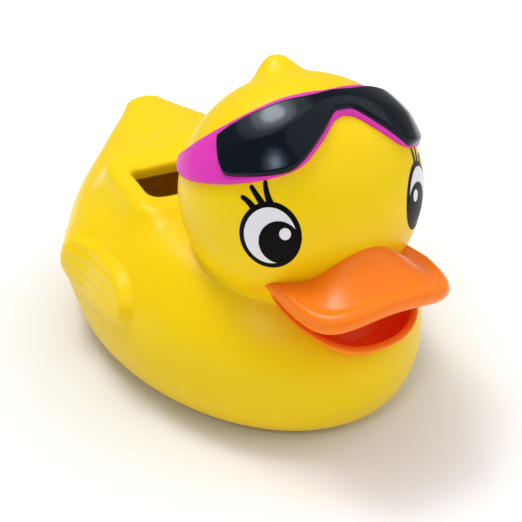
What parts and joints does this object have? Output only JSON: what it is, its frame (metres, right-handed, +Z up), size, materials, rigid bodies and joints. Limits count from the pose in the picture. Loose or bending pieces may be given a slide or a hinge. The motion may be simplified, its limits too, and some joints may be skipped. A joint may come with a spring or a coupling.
{
  "type": "rubber duck",
  "caption": "Hollow moulded duck with a long slot in its back, sunglasses raised on its forehead and an open bill; stands on a flat base.",
  "frame": {"origin": "centre of the bounding box's footprint, on the flat base", "axes": "+Z up, -Y out of the bill, +X towards the duck's left wing"},
  "size_m": [0.0894, 0.1388, 0.0801],
  "materials": {
    "yellow_vinyl": "satin soft vinyl, with painted eyes, glossy orange bill and glossy black and magenta sunglasses"
  },
  "bodies": {
    "root": {"duck_shell": "yellow_vinyl"}
  },
  "joints": []
}
